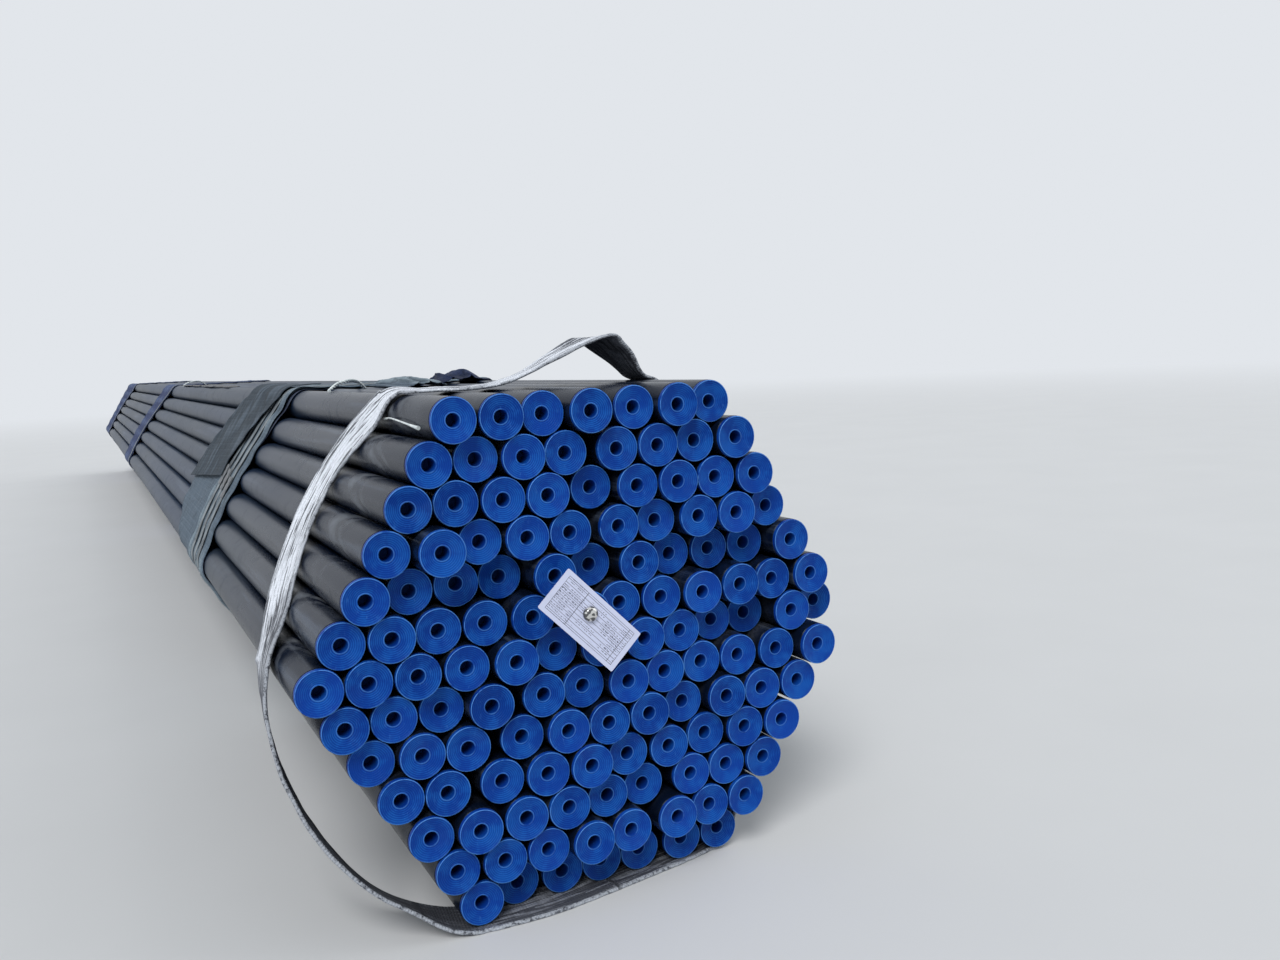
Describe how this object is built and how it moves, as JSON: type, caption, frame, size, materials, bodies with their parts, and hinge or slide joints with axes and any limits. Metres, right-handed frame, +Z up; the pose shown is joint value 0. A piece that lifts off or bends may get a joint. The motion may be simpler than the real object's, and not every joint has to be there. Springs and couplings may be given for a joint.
{
  "type": "bundle of steel pipes",
  "caption": "Hexagonal bundle of black six-metre steel pipes with plastic end plugs, cloth wraps, straps, a web sling and a tag.",
  "frame": {"origin": "on the floor, under the middle of the bundle", "axes": "+Z up, +Y along the pipes from the near end with the tag to the far end, +X to the right seen from the near end"},
  "size_m": [0.5891, 6.0648, 0.5424],
  "materials": {
    "black_lacquered_steel": "satin black lacquer with pale smears",
    "blue_plastic": "moulded blue polyethylene",
    "grey_woven_cloth": "grey-green woven polypropylene",
    "dark_woven_cloth": "dark woven polypropylene, folded double",
    "blue_woven_cloth": "dark blue woven polypropylene",
    "strapping": "off-white polyester strapping",
    "seal_steel": "pressed galvanised steel",
    "webbing": "dirty white polyester webbing",
    "card": "white card with ruled lines",
    "bright_steel": "bright domed bolt",
    "tie_plastic": "white twisted tie",
    "black_strip": "black strip"
  },
  "bodies": {
    "root": {"far_plugs_row_01": "blue_plastic", "far_plugs_row_02": "blue_plastic", "far_plugs_row_03": "blue_plastic", "far_plugs_row_04": "blue_plastic", "far_plugs_row_05": "blue_plastic", "far_plugs_row_06": "blue_plastic", "far_plugs_row_07": "blue_plastic", "far_plugs_row_08": "blue_plastic", "far_plugs_row_09": "blue_plastic", "far_plugs_row_10": "blue_plastic", "far_plugs_row_11": "blue_plastic", "far_plugs_row_12": "blue_plastic", "far_plugs_row_13": "blue_plastic", "far_wrap": "blue_woven_cloth", "far_wrap_strap": "strapping", "middle_wrap": "blue_woven_cloth", "middle_wrap_strap": "strapping", "near_lining_end": "blue_woven_cloth", "near_plugs_row_01": "blue_plastic", "near_plugs_row_02": "blue_plastic", "near_plugs_row_03": "blue_plastic", "near_plugs_row_04": "blue_plastic", "near_plugs_row_05": "blue_plastic", "near_plugs_row_06": "blue_plastic", "near_plugs_row_07": "blue_plastic", "near_plugs_row_08": "blue_plastic", "near_plugs_row_09": "blue_plastic", "near_plugs_row_10": "blue_plastic", "near_plugs_row_11": "blue_plastic", "near_plugs_row_12": "blue_plastic", "near_plugs_row_13": "blue_plastic", "near_wrap": "grey_woven_cloth", "near_wrap_end": "grey_woven_cloth", "near_wrap_flap": "dark_woven_cloth", "near_wrap_lining": "blue_woven_cloth", "near_wrap_straps": "strapping", "pipes_row_01": "black_lacquered_steel", "pipes_row_02": "black_lacquered_steel", "pipes_row_03": "black_lacquered_steel", "pipes_row_04": "black_lacquered_steel", "pipes_row_05": "black_lacquered_steel", "pipes_row_06": "black_lacquered_steel", "pipes_row_07": "black_lacquered_steel", "pipes_row_08": "black_lacquered_steel", "pipes_row_09": "black_lacquered_steel", "pipes_row_10": "black_lacquered_steel", "pipes_row_11": "black_lacquered_steel", "pipes_row_12": "black_lacquered_steel", "pipes_row_13": "black_lacquered_steel", "sling": "webbing", "strap_seals": "seal_steel", "tag": "card", "tag_bolt": "bright_steel", "ties": "tie_plastic", "top_strip": "black_strip"}
  },
  "joints": []
}
